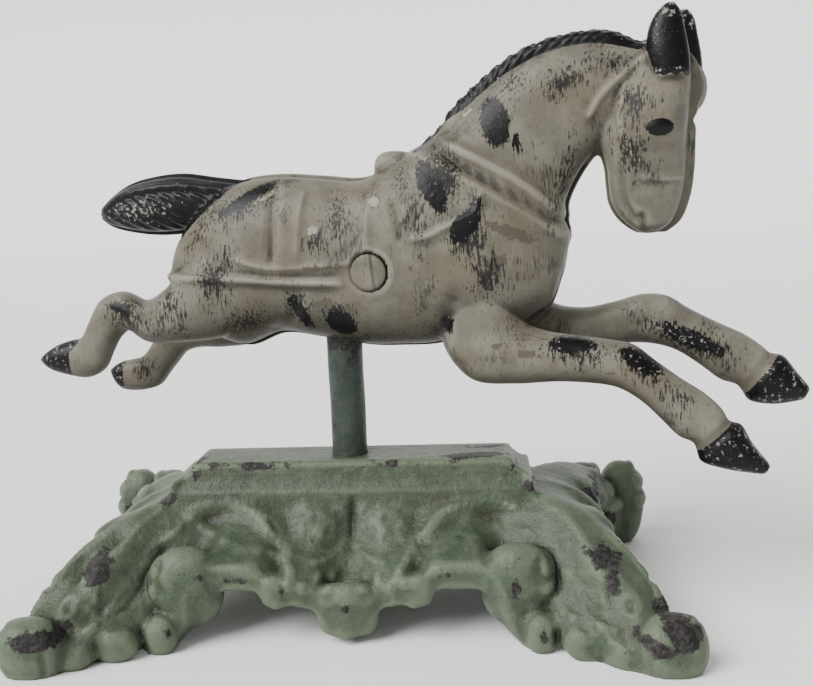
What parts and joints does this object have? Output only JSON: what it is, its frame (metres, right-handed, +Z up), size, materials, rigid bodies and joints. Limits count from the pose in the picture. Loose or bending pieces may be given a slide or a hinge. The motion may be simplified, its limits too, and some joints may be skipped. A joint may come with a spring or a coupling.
{
  "type": "carousel horse ornament",
  "caption": "Painted cast galloping horse with harness in relief, carried on a short rod by an ornate four-footed stand.",
  "frame": {"origin": "on the floor, under the middle of the whole ornament", "axes": "+X towards the horse's nose and along the stand's long side, +Y towards the horse's left, +Z up"},
  "size_m": [0.2692, 0.1244, 0.199],
  "materials": {
    "horse_paint": "worn off-white enamel with black marks over cast iron",
    "screw_paint": "worn off-white enamel over steel",
    "rod_paint": "dark green enamel, chipped",
    "stand_paint": "green enamel, chipped to bare iron on the high places"
  },
  "bodies": {
    "root": {"horse_right_half": "horse_paint", "horse_left_half": "horse_paint", "joining_screw": "screw_paint", "pole": "rod_paint", "base": "stand_paint"}
  },
  "joints": []
}
